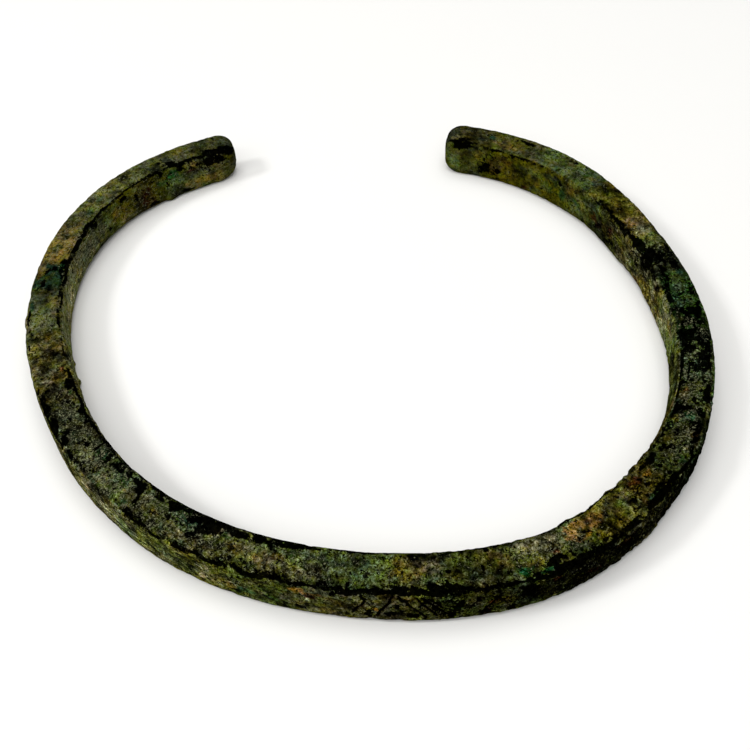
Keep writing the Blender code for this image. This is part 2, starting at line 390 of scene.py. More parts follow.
# %% Patches of the top face, on the right arm
TOP_PATCHES += [
    ("olive", 118.4, 0.3, 0.8, 0.5), ("green", 119.2, 1.1, 0.7, 0.4), ("ochre", 120.9, -0.9, 0.6, 0.4),
    ("khaki", 121, 0.2, 0.6, 0.5), ("dark green", 121, 0.9, 1.0, 0.7), ("ash", 120.8, 1.0, 0.3, 0.25),
    ("orange", 122.4, 1.3, 0.4, 0.3), ("bright olive", 123, -1.1, 0.6, 0.4), ("ash", 125.6, 1.6, 0.3, 0.2),
    ("orange", 127.2, -0.6, 0.5, 0.3), ("ash", 129.1, -0.9, 0.3, 0.2), ("ash", 132.7, -0.6, 0.35, 0.3),
    ("emerald", 124.4, 0.2, 0.5, 0.4), ("sand", 122.5, 0.8, 0.6, 0.4), ("ochre", 123.7, -0.8, 0.5, 0.5),
    # The long thin ash line at 129 mm, 1.72 mm across on the top's inner arris, is a painted highlight
    # along that arris.
    ("sand", 123.8, -0.9, 0.25, 0.2), ("ash", 129, -1.72, 5, 0.09), ("grey khaki", 126.7, -0.6, 0.7, 0.4),
    ("grey khaki", 128, 0.5, 0.8, 0.5), ("moss", 127, 1.0, 1.1, 0.5), ("dark green", 129.4, 1.0, 1.0, 0.6),
    ("grey-green", 129.8, -0.95, 1.4, 0.18), ("grey-green", 130.6, 0.3, 1.1, 0.5),
    ("sand", 131.4, 1.3, 0.4, 0.2), ("pale green", 132.8, -0.3, 0.5, 0.4),
    ("grey-green", 135.6, 1.0, 0.8, 0.5), ("grey-green", 136.5, -0.5, 0.5, 0.4),
    ("khaki", 137.1, -1.2, 0.7, 0.3), ("grey-green", 139.3, -0.7, 1.0, 0.6),
    ("grey-green", 139.9, 0.6, 0.5, 0.4), ("grey-green", 142.2, 0.1, 1.2, 0.7),
    ("grey-green", 142.6, -0.3, 0.7, 0.4), ("teal", 143.7, 0.8, 0.6, 0.5), ("olive", 145.6, -1.0, 0.5, 0.3),
    ("pale khaki", 146.1, 0.3, 0.25, 0.2), ("pale khaki", 150.9, 0.1, 0.7, 0.5),
    ("tan", 152.3, -0.3, 0.9, 0.6), ("ochre", 156, -0.1, 0.6, 0.4), ("mustard", 154.3, 0.3, 0.8, 0.7),
    ("mustard", 158, 0, 0.9, 0.8), ("mustard", 157, -0.9, 1.1, 0.6), ("bright olive", 160.6, 0.3, 0.8, 0.6),
    ("green", 161.4, 0.5, 0.5, 0.4), ("pale khaki", 164, 0.4, 0.7, 0.3), ("drab", 164.6, 1.0, 1.2, 0.3),
    ("pale khaki", 165.6, -0.7, 0.7, 0.4), ("green", 167.1, 0.2, 0.6, 0.5), ("drab", 168.3, 0.4, 0.4, 0.6),
    ("pale khaki", 169.2, -0.5, 0.8, 0.5), ("sand", 172.4, -0.3, 1.8, 0.6), ("tan", 171.6, -0.9, 1.5, 0.4),
    ("ochre", 173.2, 0.4, 0.6, 0.5), ("tan", 173.2, -0.7, 0.9, 0.5), ("teal", 174.4, 0.1, 0.5, 0.4),
    ("slate", 175.3, -0.5, 0.7, 0.5), ("sand", 177.6, 0.2, 0.4, 0.3), ("slate", 179.4, 0, 0.8, 2),
]
print(len(TOP_PATCHES), "patches on the whole top face")

# %% Patches of the outer face
OUTER_PATCHES = [
    ("teal", 46, 1.5, 1.2, 0.8), ("pale khaki", 63.5, -0.4, 1.6, 1.2), ("khaki", 66, 1.4, 1.2, 0.6),
    ("olive", 69.2, -0.6, 1.3, 0.8), ("dark olive", 69.3, 1.1, 1.4, 1.0), ("bone", 59.2, -0.9, 0.9, 0.5),
    ("bright olive", 64.5, 1.2, 1.4, 0.7), ("yellow khaki", 67.2, 0.7, 0.9, 0.4),
    ("olive", 71.4, 0.4, 0.8, 0.8), ("pale khaki", 73.2, -0.6, 0.9, 0.7), ("bone", 73.2, 0.9, 0.5, 0.4),
    ("yellow khaki", 74.6, 0.5, 0.9, 0.9), ("ochre", 75.6, 0.7, 0.5, 0.6),
    ("dark olive", 76.9, -0.7, 1.2, 1.2), ("green", 77.3, 0.7, 0.9, 0.6),
    ("pale khaki", 78, -1.0, 0.5, 0.4), ("pale khaki", 79.2, 0.4, 0.5, 0.6), ("green", 79.7, 0.8, 0.5, 0.5),
    ("pale khaki", 80.7, 0.2, 0.4, 0.4), ("orange", 81.9, -1.7, 0.6, 0.3), ("orange", 83.4, -1.3, 0.7, 0.3),
    ("rust", 83, -0.6, 0.5, 0.4), ("orange", 82.9, -1.2, 0.9, 0.4), ("bone", 82.7, -0.2, 0.35, 0.35),
    ("pale khaki", 83.7, 0.8, 0.5, 0.6), ("ochre", 85.8, -0.2, 0.9, 1.0), ("khaki", 86.6, 0.9, 0.5, 0.6),
    ("orange", 88.5, 0.2, 0.3, 0.3), ("ochre", 87.9, 0.2, 0.4, 0.9), ("khaki", 89, -1.2, 0.6, 0.5),
    ("khaki", 90.9, 0.4, 0.6, 0.7), ("sand", 91.1, -1.8, 0.7, 0.3), ("khaki", 93, 0.2, 0.5, 0.9),
    ("olive", 94.4, -1.6, 0.6, 0.4), ("khaki", 96.6, -0.5, 0.6, 1.0), ("emerald", 95.3, 0.3, 0.4, 0.4),
    ("maroon", 97.5, 1.3, 0.5, 0.5), ("rust", 98.3, -0.2, 0.5, 0.4), ("khaki", 99.1, 0.3, 0.5, 0.9),
    ("olive", 99.8, -1.5, 0.4, 0.6), ("khaki", 102.3, 0.3, 0.5, 0.8), ("green", 103, -2.2, 0.6, 0.3),
    ("rust", 103.6, -1.0, 0.3, 0.6), ("khaki", 104.9, -0.6, 0.3, 0.7), ("olive", 106.2, 0.1, 0.4, 0.3),
    ("khaki", 107.4, -1.3, 0.3, 0.6), ("maroon", 107, 0.6, 1.0, 0.5), ("khaki", 108.8, 0.4, 0.5, 0.5),
    ("rust", 109.5, -1.2, 0.4, 0.5), ("maroon", 110.8, -0.8, 0.6, 0.6),
    ("grey khaki", 112.4, 0.2, 0.3, 0.3), ("khaki", 115, -1.3, 0.3, 0.8), ("khaki", 116, -0.8, 0.4, 0.7),
    ("green", 129, 0.6, 2.0, 0.8),
]
print(len(OUTER_PATCHES), "patches on the outer face")

# %% Patches of the inner face
INNER_PATCHES = [
    ("mustard", 0.9, 0.9, 0.6, 0.7), ("sand", 4.5, -0.8, 1.5, 0.6), ("sand", 6.7, -0.9, 0.5, 0.4),
    ("tan", 5.7, 1.6, 0.6, 0.4), ("rust", 6.1, 0.9, 0.5, 0.3), ("maroon", 6.2, 0.8, 0.6, 0.4),
    ("emerald", 8.6, 1.2, 1.2, 0.7), ("pale green", 8.6, 0, 1.2, 0.4), ("green", 10, 0.7, 0.7, 0.6),
    ("mustard", 10.6, -0.8, 1.2, 0.8), ("maroon", 11.9, -1.4, 0.4, 0.25), ("maroon", 13, -1.1, 0.5, 0.6),
    ("maroon", 13, -0.1, 0.4, 0.35), ("khaki", 13.3, 1.1, 0.8, 0.6), ("grey khaki", 15.4, -1.1, 1.0, 0.7),
    ("pale khaki", 17, -1.1, 1.1, 0.6), ("maroon", 12.4, 0.7, 0.3, 0.3),
    ("bright olive", 14.6, 1.7, 0.6, 0.5), ("mustard", 15.7, 0.2, 0.9, 0.8), ("ochre", 17.5, 0.3, 1.4, 0.8),
    ("olive", 18, 1.6, 0.8, 0.5), ("grey-green", 19.8, 0.9, 0.7, 0.4), ("khaki", 20.4, -1.1, 0.8, 0.5),
    ("grey khaki", 22, -0.9, 0.9, 0.4), ("slate", 24.8, 0.2, 0.9, 0.5), ("slate", 22.6, 0.2, 0.5, 0.3),
    ("khaki", 26, 1.3, 0.9, 0.5), ("sand", 28.2, -0.6, 1.3, 0.7), ("drab", 27, 1.1, 1.0, 0.6),
    ("ash", 32.5, -0.2, 2.2, 1.2), ("ash", 33, 0.3, 0.4, 0.5), ("drab", 31.5, 1.5, 1.2, 0.3),
    ("sand", 136.8, 1.0, 1.2, 0.8), ("bone", 139.8, -0.8, 0.4, 0.6), ("tan", 141.2, -0.8, 1.0, 0.6),
    ("olive", 141.2, 1.0, 1.2, 0.8), ("ochre", 145, -0.4, 1.2, 0.7), ("olive", 140.6, 0.5, 0.6, 0.5),
    ("tan", 143.5, -0.4, 0.7, 0.6), ("sand", 143, 1.1, 1.0, 0.6), ("maroon", 143, 1.5, 0.4, 0.3),
    ("khaki", 145, 1.1, 1.0, 0.8), ("sand", 147, -0.6, 1.4, 0.8), ("brown", 149.3, 1.1, 1.0, 0.6),
    ("bright olive", 149, -0.6, 1.3, 0.6), ("brown", 151.2, -0.6, 1.4, 0.9),
    ("brown", 154.6, 0.2, 1.2, 0.8), ("rust", 147.6, -1.6, 0.9, 0.3), ("pale khaki", 149.6, -0.6, 0.6, 0.5),
    ("mustard", 152, 0.5, 0.9, 0.6), ("maroon", 154.2, 0.4, 0.5, 0.4), ("maroon", 156.6, -0.5, 0.6, 0.35),
    ("rust", 157.4, 0.3, 0.6, 0.6), ("maroon", 158.4, 1.2, 0.5, 0.5),
    ("bright olive", 159.2, 0.6, 1.5, 1.1), ("dark olive", 161, -1.3, 1.2, 0.6),
    ("olive", 160.3, -0.6, 1.2, 0.7), ("green", 160.4, 0.1, 0.6, 0.4), ("brown", 161.3, 1.8, 0.9, 0.4),
    ("ochre", 161.6, 1.1, 0.8, 0.4), ("mustard", 162, -1.2, 1.2, 0.6), ("olive", 163.8, 1.2, 0.9, 0.6),
    ("green", 163.2, 0, 0.7, 0.6), ("dark green", 165.2, 1.4, 1.2, 0.6), ("olive", 165.6, -0.3, 1.3, 0.9),
    ("mustard", 167, -0.8, 0.8, 0.7), ("mustard", 168.8, -0.3, 0.7, 0.5), ("olive", 167.2, -1.5, 0.8, 0.4),
    ("maroon", 168.9, -1.7, 0.5, 0.25), ("mustard", 170.5, -0.8, 1.5, 0.9), ("ochre", 171.4, 0.9, 1.0, 0.6),
    ("yellow khaki", 168, 1.0, 1.6, 0.7), ("brown", 172.9, 0.2, 1.1, 1.4), ("straw", 175, 0.8, 0.9, 0.7),
    ("grey-green", 178.8, -0.4, 0.9, 1.4),
]
print(len(INNER_PATCHES), "patches on the inner face")

# %% [markdown]
# ## Where the skin is black
# The skin is black along the arrises and in many small places. Where the crust has flaked off, the thin
# black layer on the metal shows. Each such place reads like a patch of colour, without the colour. Their
# order doesn't count, so they go from the left end to the right end.

# %% Black places on the top face, on the left arm
BLACK_TOP = [
    (1.2, -1.4, 1.1, 0.45), (2.7, -1.5, 1.4, 0.25), (3.6, -1.3, 0.4, 0.35), (7, -1.6, 3.5, 0.2),
    (8.7, -1.2, 0.7, 0.4), (9.8, -0.4, 0.3, 0.3), (11.2, -1.5, 0.9, 0.3), (15.5, -1.6, 3.5, 0.2),
    (20, -1.6, 3.5, 0.2), (23, -1.55, 1.3, 0.28), (26.5, -1.6, 3, 0.25), (29.6, -1.2, 0.25, 0.5),
    (30.6, -0.3, 0.6, 0.6), (30.8, 0.4, 0.4, 0.3), (31.2, -1.3, 1.3, 0.3), (32.6, 0.4, 0.8, 0.3),
    (33.4, -0.3, 0.5, 0.3), (34, -1.6, 1.6, 0.2), (37.2, -1.6, 0.4, 0.25), (37.2, 1.5, 0.6, 0.2),
    (38.2, 1.6, 0.7, 0.15), (38.8, -1.5, 1.2, 0.2), (40, 1.3, 0.3, 0.2), (40.9, 1.2, 0.18, 0.25),
    (41.9, 1.6, 0.5, 0.15), (43, -1.7, 2.5, 0.1), (46.6, -1.6, 1.0, 0.18), (47.5, -1.3, 0.2, 0.2),
    (48.2, 1.1, 0.25, 0.4), (48.4, -1.35, 0.4, 0.45), (48.4, 0, 0.18, 0.35), (48.8, 1.5, 0.6, 0.18),
    (50.3, 1.6, 0.9, 0.28),
]
print(len(BLACK_TOP), "black places on the left arm")

# %% Black places on the top face, in front
BLACK_TOP += [
    # The long strips at the top's inner arris paint that arris of the front black, from about 47 to 116 mm.
    (52, -1.75, 5.5, 0.35), (52, 2.0, 5, 0.3), (52.3, -1.4, 0.5, 0.3), (52.7, 1.5, 1.3, 0.38),
    (52.7, -0.1, 0.3, 0.18), (53.4, -1.7, 1.0, 0.15), (53.8, -1.2, 0.4, 0.35), (54, 0.9, 0.35, 0.4),
    (54.8, 1.4, 0.6, 0.35), (54.9, -1.6, 0.3, 0.25), (56.3, -0.1, 0.25, 0.25), (56.5, 1.65, 0.6, 0.2),
    (57, -1.65, 2.2, 0.16), (57.5, -0.9, 0.25, 0.5), (57.6, 1.6, 0.3, 0.18), (58.6, 1.6, 0.2, 0.2),
    (59.4, -0.9, 0.35, 0.5, 0.5), (60.5, 0, 0.2, 0.18), (60.7, -0.9, 0.8, 0.4), (60.8, -1.65, 2.5, 0.12),
    (61.1, -1.3, 0.5, 0.4), (61.3, 1.9, 0.2, 0.2), (61.4, -0.7, 0.4, 0.4), (62.3, -1.2, 0.4, 0.3),
    (63.8, -1.1, 1.0, 0.35), (64.4, -0.8, 0.4, 0.6), (64.7, 0, 0.16, 1.3, 0.22), (65, 0.5, 0.15, 0.3),
    (65.3, 1.7, 0.6, 0.45), (66, -2.7, 13, 1.1), (66.7, -1.1, 0.5, 0.18), (66.9, 1.75, 1.2, 0.4),
    (68.4, -1.3, 0.9, 0.35), (68.6, -0.9, 0.4, 0.3), (68.7, 0, 0.4, 0.25), (69, 2.2, 0.6, 0.12),
    (70.2, -0.1, 0.2, 0.18), (70.8, -1.0, 0.9, 0.45), (71, -1.5, 3.5, 0.22), (71.6, 0.5, 0.35, 0.5),
    (72, -2.2, 8, 0.65), (72, -0.2, 0.8, 0.45), (72.5, -0.8, 1.0, 0.5), (72.9, -1.3, 1.9, 0.4),
    (72.9, 2.0, 1.4, 0.28), (75, 1.9, 0.6, 0.35), (75.6, -1.2, 1.2, 0.35), (75.7, 1.1, 0.18, 0.25),
    (76.2, 2.0, 0.7, 0.28), (77.6, -1.3, 0.7, 0.4), (78.3, 2.0, 0.7, 0.28), (78.7, -1.1, 0.6, 0.4),
    (79.2, -0.7, 0.4, 0.15), (79.2, 1.6, 0.25, 0.2), (79.9, 1.8, 0.35, 0.3), (80, -2.15, 5, 0.55),
    (80.5, -1.4, 1.6, 0.25), (80.8, 1.5, 0.3, 0.25), (82, 1.9, 0.9, 0.25), (83, -1.6, 0.6, 0.12),
    (84, -2.6, 12, 0.75), (84, 1.6, 0.5, 0.25), (85.6, 1.9, 0.5, 0.35), (86, 2.05, 20, 0.3),
    (86.4, 1.5, 0.22, 0.4), (87, -2.2, 6, 0.25), (87.2, 2.0, 1.2, 0.3), (88.8, 1.65, 0.5, 0.25),
    (90.5, 1.6, 0.8, 0.25), (90.6, 0, 0.15, 0.15), (91, 2.05, 5, 0.35), (91.6, 1.6, 0.5, 0.3),
    (92.2, -1.6, 0.9, 0.15), (93.3, 1.4, 0.6, 0.5), (93.4, -1.5, 0.3, 0.2), (94.4, 1.1, 0.15, 0.3),
    (94.6, 0, 0.2, 0.2), (95, 1.6, 1.0, 0.3), (97.5, 0.1, 0.18, 0.3), (98.3, -1.5, 0.22, 0.2),
    (99, 2.0, 3.5, 0.35), (99.2, 0.4, 0.2, 0.15), (99.6, 1.1, 0.15, 0.2), (103.3, 1.1, 0.4, 0.45),
    (103.9, 0.8, 0.4, 0.3), (104, -2.1, 12, 0.3), (105, 1.8, 2, 0.35), (105.1, 1.0, 0.2, 0.3),
    (105.7, 1.0, 0.15, 0.5, -0.5), (106.6, 0.3, 0.28, 0.28), (107.6, -0.1, 0.2, 0.15), (108, 2.0, 6, 0.5),
    (108.3, 1.4, 0.3, 0.2), (109.6, 0.5, 0.18, 0.18), (110.7, 0.7, 0.2, 0.12), (111.5, 1.6, 1.0, 0.2),
]
print(len(BLACK_TOP), "black places with those in front")

# %% Black places on the top face, on the right arm
BLACK_TOP += [
    (112.7, 1.0, 0.2, 0.15), (113, 0.1, 0.4, 0.22), (114.2, 0.7, 0.15, 0.35), (114.9, 1.1, 0.22, 0.2),
    (115.2, -0.8, 0.2, 0.22), (115.2, 0, 0.4, 0.22), (115.8, 0.9, 0.5, 0.4), (116, 1.5, 2.5, 0.3),
    (116.3, -1.4, 0.5, 0.25), (116.9, 0.8, 0.18, 0.18), (117, 1.9, 4.5, 0.4), (117.5, 1.0, 0.3, 0.18),
    (117.6, -0.1, 0.3, 0.18), (117.6, -1.3, 1.1, 0.4), (117.7, -0.9, 0.4, 0.2), (119.4, -1.5, 0.5, 0.2),
    (119.7, -0.7, 0.5, 0.3), (120.2, -0.1, 0.2, 0.4), (121, 0.9, 0.2, 0.2), (121.4, -1.5, 1.6, 0.12),
    (121.6, 1.6, 1.5, 0.3), (122, -0.4, 0.3, 0.22), (123.2, 1.4, 1.0, 0.3), (123.5, 0.8, 0.55, 0.6),
    (124.9, -1.2, 1.0, 0.3), (125, -0.6, 0.6, 0.5), (125.1, 1.2, 0.5, 0.4), (125.4, -0.1, 0.4, 0.4),
    (126.3, 0.4, 0.3, 0.4), (127.4, -1.35, 1.9, 0.22), (127.8, 1.3, 1.1, 0.3), (128.5, -0.9, 0.35, 0.35),
    (129, 0.9, 0.15, 0.15), (130.3, 0, 0.4, 0.15), (130.4, -0.55, 1.5, 0.12), (131, -1.4, 3, 0.2),
    (131.2, 1.2, 0.7, 0.3), (132.3, 0.5, 0.9, 0.45), (132.8, 1.1, 1.2, 0.5), (132.9, -0.6, 0.8, 0.4),
    (133.5, 1.1, 2.0, 0.4), (133.8, -1.15, 1.7, 0.5), (134.4, -0.2, 0.7, 0.7), (134.5, 0.5, 1.3, 0.5),
    (135.2, -0.9, 0.6, 0.8), (135.6, -0.1, 0.4, 0.4), (136.2, 0.2, 0.8, 0.2), (136.3, -1.0, 0.6, 0.2),
    (137, 0.8, 0.4, 0.6), (137.2, -0.6, 0.4, 0.4), (138.1, -0.4, 0.9, 0.6), (138.1, 0.7, 0.8, 0.8),
    (138.8, -0.9, 0.25, 0.35), (138.9, 1.2, 0.6, 0.2), (140.3, -1.4, 0.9, 0.3), (140.9, 0, 0.18, 0.5),
    (141, 1.0, 0.8, 0.4), (142, -1.2, 1.0, 0.25), (143.3, -0.9, 0.7, 0.25), (144.7, -0.7, 0.6, 0.3),
    (145, 0.9, 0.9, 0.45), (145.6, -1.9, 1.8, 0.5), (145.6, 0, 0.4, 0.4), (146.5, 0, 0.6, 0.8),
    (146.6, -1.0, 1.2, 0.5), (147.6, 1.3, 0.9, 0.25), (148.6, -1.4, 1.3, 0.6), (150.3, -1.6, 1.8, 0.35),
    (153.5, -1.75, 2.4, 0.4), (156, -1.6, 1.8, 0.4), (157.2, -1.9, 0.5, 0.15), (162.2, 1.2, 0.3, 0.12),
    (163.8, 1.0, 0.35, 0.22), (164.5, 0.9, 0.22, 0.3), (166.5, -1.9, 0.3, 0.15), (169, -1.3, 0.2, 0.22),
    (169.5, -1.95, 1.4, 0.15), (169.7, 0.75, 0.6, 0.28), (170.5, 0.9, 0.6, 0.2), (172.8, -1.9, 0.6, 0.2),
    (174.6, -1.9, 0.6, 0.18), (176.6, -1.6, 1.2, 0.2), (177.6, -1.1, 0.8, 0.35), (178, -1.7, 1.6, 0.4),
]
print(len(BLACK_TOP), "black places on the whole top face")

# %% Black places on the outer and inner faces
BLACK_OUTER = [
    (66, -2.4, 1.2, 0.25), (68.5, -2.3, 1.0, 0.3), (71, 1.4, 0.25, 0.35), (71.5, -2.3, 1.5, 0.3),
    (74.5, -2.3, 1.6, 0.35), (76.3, -0.7, 0.12, 0.5, -0.5), (76.3, 1.1, 0.25, 0.3), (78, -2.3, 1.4, 0.35),
    (79, -0.8, 0.12, 0.5, -0.4), (80.7, 1.3, 0.4, 0.45), (82.2, 1.35, 0.55, 0.4), (84, -2.4, 1.2, 0.2),
    (85.1, -1.8, 0.2, 0.35), (86.4, -2.3, 1.3, 0.35), (87.4, -1.7, 0.25, 0.5), (87.7, 1.1, 0.25, 0.55),
    (87.8, -0.9, 0.14, 0.6), (89, -2.4, 1.4, 0.2), (89.8, 0.7, 0.35, 0.5), (90.2, -0.3, 0.2, 0.45),
    (90.8, -1.6, 0.22, 0.4), (91.5, 1.3, 0.6, 0.35), (92.4, -0.8, 0.2, 0.8), (93.4, 0.6, 0.18, 0.9, 0.4),
    (93.5, -2.3, 2.5, 0.3), (94.6, 1.3, 0.5, 0.4), (95.7, -0.3, 0.3, 0.8), (97, -0.9, 0.4, 0.4),
    (97.4, 1.4, 0.5, 0.4), (98.4, -2.3, 2.0, 0.3), (98.6, -0.9, 0.3, 0.5), (99.6, 1.3, 0.5, 0.6),
    (101.6, -0.7, 0.9, 1.5, 0.5), (105, -2.2, 5, 0.5),
]
BLACK_INNER = [
    (0.8, 2.0, 0.6, 0.5), (2.4, 1.2, 0.7, 0.8), (3, 2.3, 2.5, 0.4), (3.8, 1.4, 1.7, 0.75),
    (7, 2.35, 2.5, 0.28), (7.3, -1.5, 0.2, 0.2), (7.4, 1.9, 0.5, 0.5), (8.3, -1.1, 0.2, 0.15),
    (8.9, 1.5, 0.4, 0.25), (10.5, 2.1, 0.4, 0.4), (11.4, 2.3, 1.0, 0.25), (11.7, 1.5, 0.5, 0.13),
    (14.3, 0.8, 0.45, 0.3), (14.5, 0.25, 0.4, 0.3), (15, 2.45, 4, 0.13), (16.2, 1.8, 0.5, 0.6),
    (19.3, -0.6, 0.35, 0.35), (19.5, 2.35, 2.0, 0.18), (21.9, 1.8, 0.7, 0.4), (24, 2.3, 4, 0.3),
    (30, 2.25, 6, 0.35), (35, 2.3, 2.0, 0.25), (143.7, 2.1, 0.2, 0.2), (145, 1.4, 0.2, 0.25),
    (145.6, 2.2, 0.8, 0.35), (146.3, 1.7, 1.1, 0.7), (146.7, 1.0, 0.5, 0.25), (149.4, 2.2, 0.4, 0.3),
    (149.7, 0.5, 0.15, 0.18), (150.6, 2.4, 5, 0.18), (151.8, 2.0, 0.28, 0.4), (152.6, -0.9, 0.22, 0.35),
    (153.6, -0.95, 0.4, 0.28), (154.4, 2.2, 0.4, 0.3), (154.5, -1.3, 0.6, 0.32), (155.8, -0.4, 0.5, 0.2),
    (156.2, 0.65, 0.25, 0.2), (157, -0.8, 0.3, 0.3), (157.2, 2.4, 0.5, 0.2), (163.6, 1.15, 0.38, 0.3),
    (164.5, 1.9, 0.2, 0.25), (165.3, 1.1, 0.22, 0.15), (166.6, 2.4, 0.3, 0.18), (167.6, 2.2, 0.22, 0.18),
    (169.8, 2.3, 1.6, 0.22), (170.4, 0.45, 0.2, 0.15), (170.8, 2.0, 0.3, 0.2), (172.8, -0.7, 0.4, 0.35),
    (173.2, -0.3, 0.2, 0.15), (173.5, 2.25, 1.5, 0.25), (174.2, -0.1, 0.5, 0.35), (174.4, 1.2, 0.15, 0.35),
    (174.6, -1.0, 0.8, 0.8), (174.6, 0.5, 0.22, 0.2), (175.5, -1.4, 0.3, 0.22), (177.2, 2.0, 1.5, 0.5),
]
print(len(BLACK_OUTER), "on the outer face,", len(BLACK_INNER), "on the inner")

# %% Tracts of thin crust and painted shade, of pale grains and of streaks
THIN_CRUST_AND_SHADE = {  # distance along, across, half-length, half-width, share of black showing through
    "top": [
        (32, 0.2, 2.6, 2.2, 0.3), (50, 0, 2.5, 2.6, 0.25), (57, 0, 8, 2.6, 0.3), (70, 0, 6, 2.6, 0.25),
        (76, 1.6, 6, 0.8, 0.35), (92, 1.6, 8, 0.6, 0.2), (106, 1.4, 6, 0.8, 0.3), (116, 0.4, 4, 2.2, 0.3),
        (121.5, 0, 3.5, 2.6, 0.3), (129, 0, 4.5, 2.6, 0.35), (135, 0, 3, 2.6, 0.35), (142, 0, 5, 2.6, 0.25),
        (146.5, 0, 1.5, 2.6, 0.6), (176, 0, 3, 2.4, 0.15),
    ],
    "outer": [
        # From about 100 mm on, the outer face of the right arm is turned away from the key light. It is
        # painted mostly black there: partly thin crust, partly painted shade.
        (80, 0, 6, 3, 0.15), (89, 0, 3, 3, 0.2), (96, 0, 5, 3, 0.42), (100, -0.4, 3, 2.4, 0.5),
        (107, 0, 7, 3, 0.7), (120, 0, 10, 3, 0.8), (135, 0, 10, 3, 0.5),
    ],
    "bottom": [(90, 0, 60, 3, 0.3)],
    "inner": [
        (12, 0, 4, 3, 0.2), (4, 1.2, 3.5, 1.4, 0.4), (147, 0.8, 3, 1.6, 0.35), (155, 0, 4, 3, 0.3),
        (174, 0, 2, 3, 0.25),
    ],
}
PALE_GRAINS = {  # distance along, across, half-length, half-width, strength
    "top": [
        (17, 0, 5, 1.8, 0.4), (26, 0, 3, 1.8, 0.6), (38.5, 0.2, 1.5, 1.2, 0.9), (53, 0, 3, 1.6, 0.7),
        (57.5, 0, 2.5, 1.4, 0.9), (62, 0, 2.5, 1.8, 0.8), (69, 0, 5, 1.8, 0.7), (79, 0, 6, 1.8, 0.5),
        (88, 0, 3, 1.6, 0.2), (92, 0.8, 3, 0.8, 0.4), (103.5, -0.5, 3.4, 1.4, 0.7),
        (122, 0.4, 3.5, 1.2, 0.7), (132, 0, 6, 1.6, 0.8), (150, 0, 3, 1.6, 0.5), (163, 0, 4, 1.6, 0.4),
    ],
    "outer": [(66, 0, 8, 2.4, 0.35)],
    "inner": [
        (13, 0, 7, 2.2, 0.5), (30, 0, 9, 2.4, 1.0), (138, 0, 3.5, 2.4, 0.8), (147, 0, 4, 2.2, 0.3),
    ],
}
STREAKS = {"outer": [(66, 0, 12, 3, 0.9)], "inner": [(27, 0, 10, 3, 0.7), (147, 0, 9, 3, 0.7)]}
print(sum(len(tracts) for tracts in THIN_CRUST_AND_SHADE.values()), "tracts of thin crust")

# %% [markdown]
# ## The far sides
# The underside, the back of both arms and the wrist side in front are not known patch by patch. They get
# patches of the same kinds, strewn at random. The draws start from a fixed seed, so they fall the same
# way every time.

# %% Strew patches on the far sides
# Each far side is a face, and the distances along from which and to which it isn't known
FAR_SIDES = [("outer", 1, 52), ("outer", 130, 179), ("inner", 50, 118), ("bottom", 1, 179)]
FAR_COLOURS = (
    "khaki", "drab", "olive", "dark olive", "grey-green", "sand", "ochre", "green", "brown", "pale khaki",
)
PATCHES_PER_MM = 0.8
BLACK_PER_MM = 0.45
PATCH_RANGES = ((-1.6, 2), (0.4, 1.6), (0.3, 0.9))  # distance across, half-length, half-width
BLACK_RANGES = ((-1.4, 2.4), (0.2, 1.1), (0.15, 0.45))
draw = random.Random(7)


def strewn_spot(start, end, ranges):
    """A random distance along, and one number drawn from each range."""
    return [draw.uniform(low, high) for low, high in ((start, end), *ranges)]


far_patches = []
far_black = []
for face, start, end in FAR_SIDES:
    for _ in range(int((end - start) * PATCHES_PER_MM)):
        colour = draw.choice(FAR_COLOURS)
        far_patches.append((face, colour, *strewn_spot(start, end, PATCH_RANGES)))
    for _ in range(int((end - start) * BLACK_PER_MM)):
        far_black.append((face, *strewn_spot(start, end, BLACK_RANGES)))
print(len(far_patches), "patches and", len(far_black), "black ones")

# %% Paint the tracts and the patches
TRACT_BLEND = 0.5  # half the length over which one tract turns into the next
TRACT_WANDER = 0.3
ARRIS_BLEND = 0.2  # half the width over which one face's colours turn into the next face's
ARRIS_WANDER = 0.1
COVER = 0.92  # how well a patch covers what it lies on
FAR_COVER = 0.8


def lay(below, cover, above):
    """Lay one colour over another where it covers."""
    return below + (above - below) * cover[..., None]


def on_face(face):
    """1 on a face and 0 off it, with a ragged change at the arrises."""
    beyond = np.abs(off_line(face)) - face_size[face] / 2
    return 1 - ease(-ARRIS_BLEND, ARRIS_BLEND, beyond + ARRIS_WANDER * wander_around)


tint = np.ones(along.shape + (3,)) * light_share("khaki", "bottom")
tract_along = along + TRACT_WANDER * wander_along
for face, tracts in TRACTS.items():
    for start, name in tracts:
        reached = ease(start - TRACT_BLEND, start + TRACT_BLEND, tract_along) if start > 0 else 1.0
        tint = lay(tint, on_face(face) * reached, light_share(name, face))
for face, patches in (("top", TOP_PATCHES), ("outer", OUTER_PATCHES), ("inner", INNER_PATCHES)):
    for name, *spot in patches:
        tint = lay(tint, COVER * patch(face, *spot), light_share(name, face))
for face, name, *spot in far_patches:
    tint = lay(tint, FAR_COVER * patch(face, *spot), light_share(name, face))
print("mean tint:", tint.reshape(-1, 3).mean(axis=0).round(3))

# %% Take the crust off, and strew pale grains and streaks
WHOLE_CRUST = -1.9  # the score of a point whose crust is whole; near 0 the black starts to show
THINNED = 2.6  # how much a tract of the thinnest crust adds to the score
BLACKENED = 3.5  # how much a black place adds
BLACK_EDGE = 0.26  # how soft its edge is, as a share of its half-width


def at_least(values, strength, face, spot, edge=EDGE):
    """Raise values to a strength where one patch lies, unless they are higher there already."""
    return np.maximum(values, strength * patch(face, *spot, edge=edge))


def strongest(tracts_of_faces):
    """Values that each tract raises to the strength at its end."""
    values = np.zeros_like(along)
    for face, tracts in tracts_of_faces.items():
        for *spot, strength in tracts:
            values = at_least(values, strength, face, spot)
    return values


def thinness(share):
    """The part of THINNED that lets about this share of black through."""
    return min(1, 1.25 * share + 0.1)


